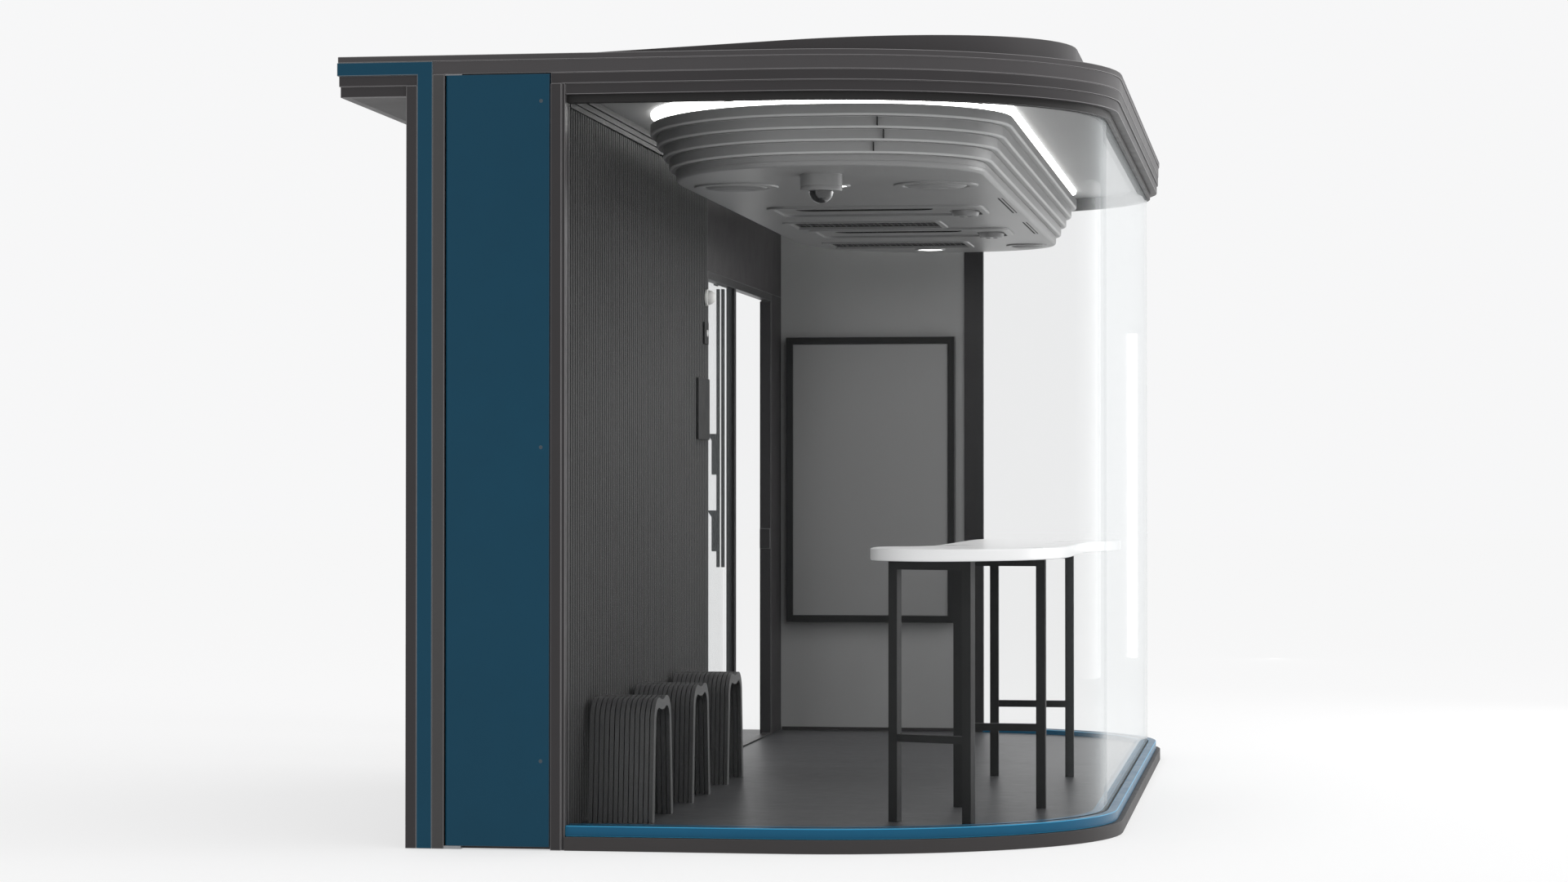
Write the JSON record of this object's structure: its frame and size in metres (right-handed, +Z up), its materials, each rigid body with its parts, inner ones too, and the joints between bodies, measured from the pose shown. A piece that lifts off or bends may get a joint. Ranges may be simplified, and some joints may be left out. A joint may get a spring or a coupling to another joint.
{
  "type": "telephone booth",
  "caption": "Walk-in glazed booth with a rounded glass side, sliding entrance door, bar table, slatted stools, display and ceiling air and light unit.",
  "frame": {"origin": "middle of the footprint's box, on the ground", "axes": "+X to the rounded glass side, -X to the entrance and canopy, +Y along the cabin to the far end, +Z up"},
  "size_m": [2.8, 5.518, 2.972],
  "materials": {
    "base_slab": "dark cast base with a smooth face",
    "base_sill": "blue gloss paint",
    "floor_deck": "dark grey planks",
    "glass_shoe": "black gasket",
    "glass_near": "clear curved glass",
    "glass_side": "clear flat glass",
    "glass_far": "clear curved glass",
    "glass_joints": "black silicone",
    "head_channel": "dark satin paint",
    "ceiling_panel": "pale grey satin panel",
    "roof_joists": "plain extrusion",
    "roof_deck": "dark grey satin paint",
    "roof_cap": "dark grey satin paint",
    "fascia_band": "grey satin paint",
    "fascia_mid": "dark grey satin paint",
    "fascia_low": "dark grey satin paint",
    "canopy_soffit": "grey satin panel",
    "corner_posts": "dark grey satin paint",
    "portal_band": "blue gloss paint",
    "portal_strip": "grey satin paint",
    "end_post": "dark grey satin paint",
    "service_door": "blue gloss paint",
    "service_hinges": "plain steel",
    "cam_lock_low": "polished",
    "cam_lock_mid": "polished",
    "cam_lock_top": "polished",
    "street_panels": "dark grey satin paint",
    "cabinet_end": "dark grey satin panel",
    "wall_backing": "dark panel",
    "ribbed_wall": "dark grey ribbed acoustic panel",
    "air_unit": "white-grey painted case",
    "air_fan": "black moulding",
    "power_board": "pale grey case",
    "door_header": "dark satin panel",
    "door_frame": "black anodised",
    "sidelight_glass": "clear glass",
    "leaf_glass": "clear glass",
    "leaf_rail": "black anodised",
    "leaf_hanger": "plain steel",
    "side_panel": "dark satin panel",
    "end_wall": "grey satin panel",
    "mullion": "black anodised",
    "display_frame": "black satin paint",
    "display_screen": "grey anti-glare glass over a dark panel",
    "ceiling_unit": "grey satin moulding",
    "cove_light": "white diffuser",
    "air_louvre_near": "dark moulding",
    "air_louvre_far": "dark moulding",
    "air_grilles": "dark moulding",
    "nozzle_near": "grey moulding",
    "nozzle_far": "grey moulding",
    "camera_base": "grey moulding",
    "camera_ball": "dark dome",
    "downlights": "white diffuser",
    "speakers": "grey moulding with a mesh",
    "table_top": "white solid surface",
    "table_frame": "black powder coat",
    "stools": "dark grey powder coat",
    "wall_devices": "dark moulding",
    "call_button": "pale moulding"
  },
  "bodies": {
    "cabin": {"base_slab": "base_slab", "base_sill": "base_sill", "floor_deck": "floor_deck", "glass_shoe": "glass_shoe", "glass_near": "glass_near", "glass_side": "glass_side", "glass_far": "glass_far", "glass_joints": "glass_joints", "head_channel": "head_channel", "ceiling_panel": "ceiling_panel", "roof_joists": "roof_joists", "roof_deck": "roof_deck", "roof_cap": "roof_cap", "fascia_band": "fascia_band", "fascia_mid": "fascia_mid", "fascia_low": "fascia_low", "canopy_soffit": "canopy_soffit", "corner_posts": "corner_posts", "portal_band": "portal_band", "portal_strip": "portal_strip", "end_post": "end_post", "service_hinges": "service_hinges", "street_panels": "street_panels", "cabinet_end": "cabinet_end", "wall_backing": "wall_backing", "ribbed_wall": "ribbed_wall", "air_unit": "air_unit", "power_board": "power_board", "door_header": "door_header", "door_frame": "door_frame", "sidelight_glass": "sidelight_glass", "side_panel": "side_panel", "end_wall": "end_wall", "mullion": "mullion", "display_frame": "display_frame", "display_screen": "display_screen", "ceiling_unit": "ceiling_unit", "cove_light": "cove_light", "air_grilles": "air_grilles", "camera_base": "camera_base", "downlights": "downlights", "speakers": "speakers", "table_top": "table_top", "table_frame": "table_frame", "stools": "stools", "wall_devices": "wall_devices"},
    "door_leaf": {"leaf_glass": "leaf_glass", "leaf_rail": "leaf_rail", "leaf_hanger": "leaf_hanger"},
    "service_door": {"service_door": "service_door"},
    "lock_low": {"cam_lock_low": "cam_lock_low"},
    "lock_mid": {"cam_lock_mid": "cam_lock_mid"},
    "lock_top": {"cam_lock_top": "cam_lock_top"},
    "fan": {"air_fan": "air_fan"},
    "louvre_near": {"air_louvre_near": "air_louvre_near"},
    "louvre_far": {"air_louvre_far": "air_louvre_far"},
    "nozzle_near": {"nozzle_near": "nozzle_near"},
    "nozzle_far": {"nozzle_far": "nozzle_far"},
    "camera_ball": {"camera_ball": "camera_ball"},
    "call_button": {"call_button": "call_button"}
  },
  "joints": [
    {"name": "leaf_slide", "type": "slide", "parent": "cabin", "child": "door_leaf", "axis": [0, 1, 0], "range_m": [0, 1.12]},
    {"name": "service_door_hinge", "type": "hinge", "parent": "cabin", "child": "service_door", "pos_m": [-0.98, -2.744, 1.4], "axis": [0, 0, 1], "range_deg": [-95, 0]},
    {"name": "lock_low_turn", "type": "hinge", "parent": "service_door", "child": "lock_low", "pos_m": [-0.641, -2.742, 0.32], "axis": [0, -1, 0], "range_deg": [0, 90]},
    {"name": "lock_mid_turn", "type": "hinge", "parent": "service_door", "child": "lock_mid", "pos_m": [-0.641, -2.742, 1.45], "axis": [0, -1, 0], "range_deg": [0, 90]},
    {"name": "lock_top_turn", "type": "hinge", "parent": "service_door", "child": "lock_top", "pos_m": [-0.641, -2.742, 2.7], "axis": [0, -1, 0], "range_deg": [0, 90]},
    {"name": "fan_spin", "type": "hinge", "parent": "cabin", "child": "fan", "pos_m": [-1, -1.529, 1.345], "axis": [1, 0, 0], "continuous": true},
    {"name": "louvre_near_tilt", "type": "hinge", "parent": "cabin", "child": "louvre_near", "pos_m": [0.235, -0.291, 2.497], "axis": [1, 0, 0], "range_deg": [0, 60]},
    {"name": "louvre_far_tilt", "type": "hinge", "parent": "cabin", "child": "louvre_far", "pos_m": [0.235, 0.989, 2.497], "axis": [1, 0, 0], "range_deg": [0, 60]},
    {"name": "nozzle_near_tilt", "type": "hinge", "parent": "cabin", "child": "nozzle_near", "pos_m": [0.655, -0.225, 2.497], "axis": [1, 0, 0], "range_deg": [-20, 20]},
    {"name": "nozzle_far_tilt", "type": "hinge", "parent": "cabin", "child": "nozzle_far", "pos_m": [0.655, 1.055, 2.497], "axis": [1, 0, 0], "range_deg": [-20, 20]},
    {"name": "camera_pan", "type": "hinge", "parent": "cabin", "child": "camera_ball", "pos_m": [0.278, -2.02, 2.425], "axis": [0, 0, 1], "range_deg": [-170, 170]},
    {"name": "call_button_press", "type": "slide", "parent": "cabin", "child": "call_button", "axis": [-1, 0, 0], "range_m": [0, 0.002], "stiffness_N_per_m": 800}
  ]
}
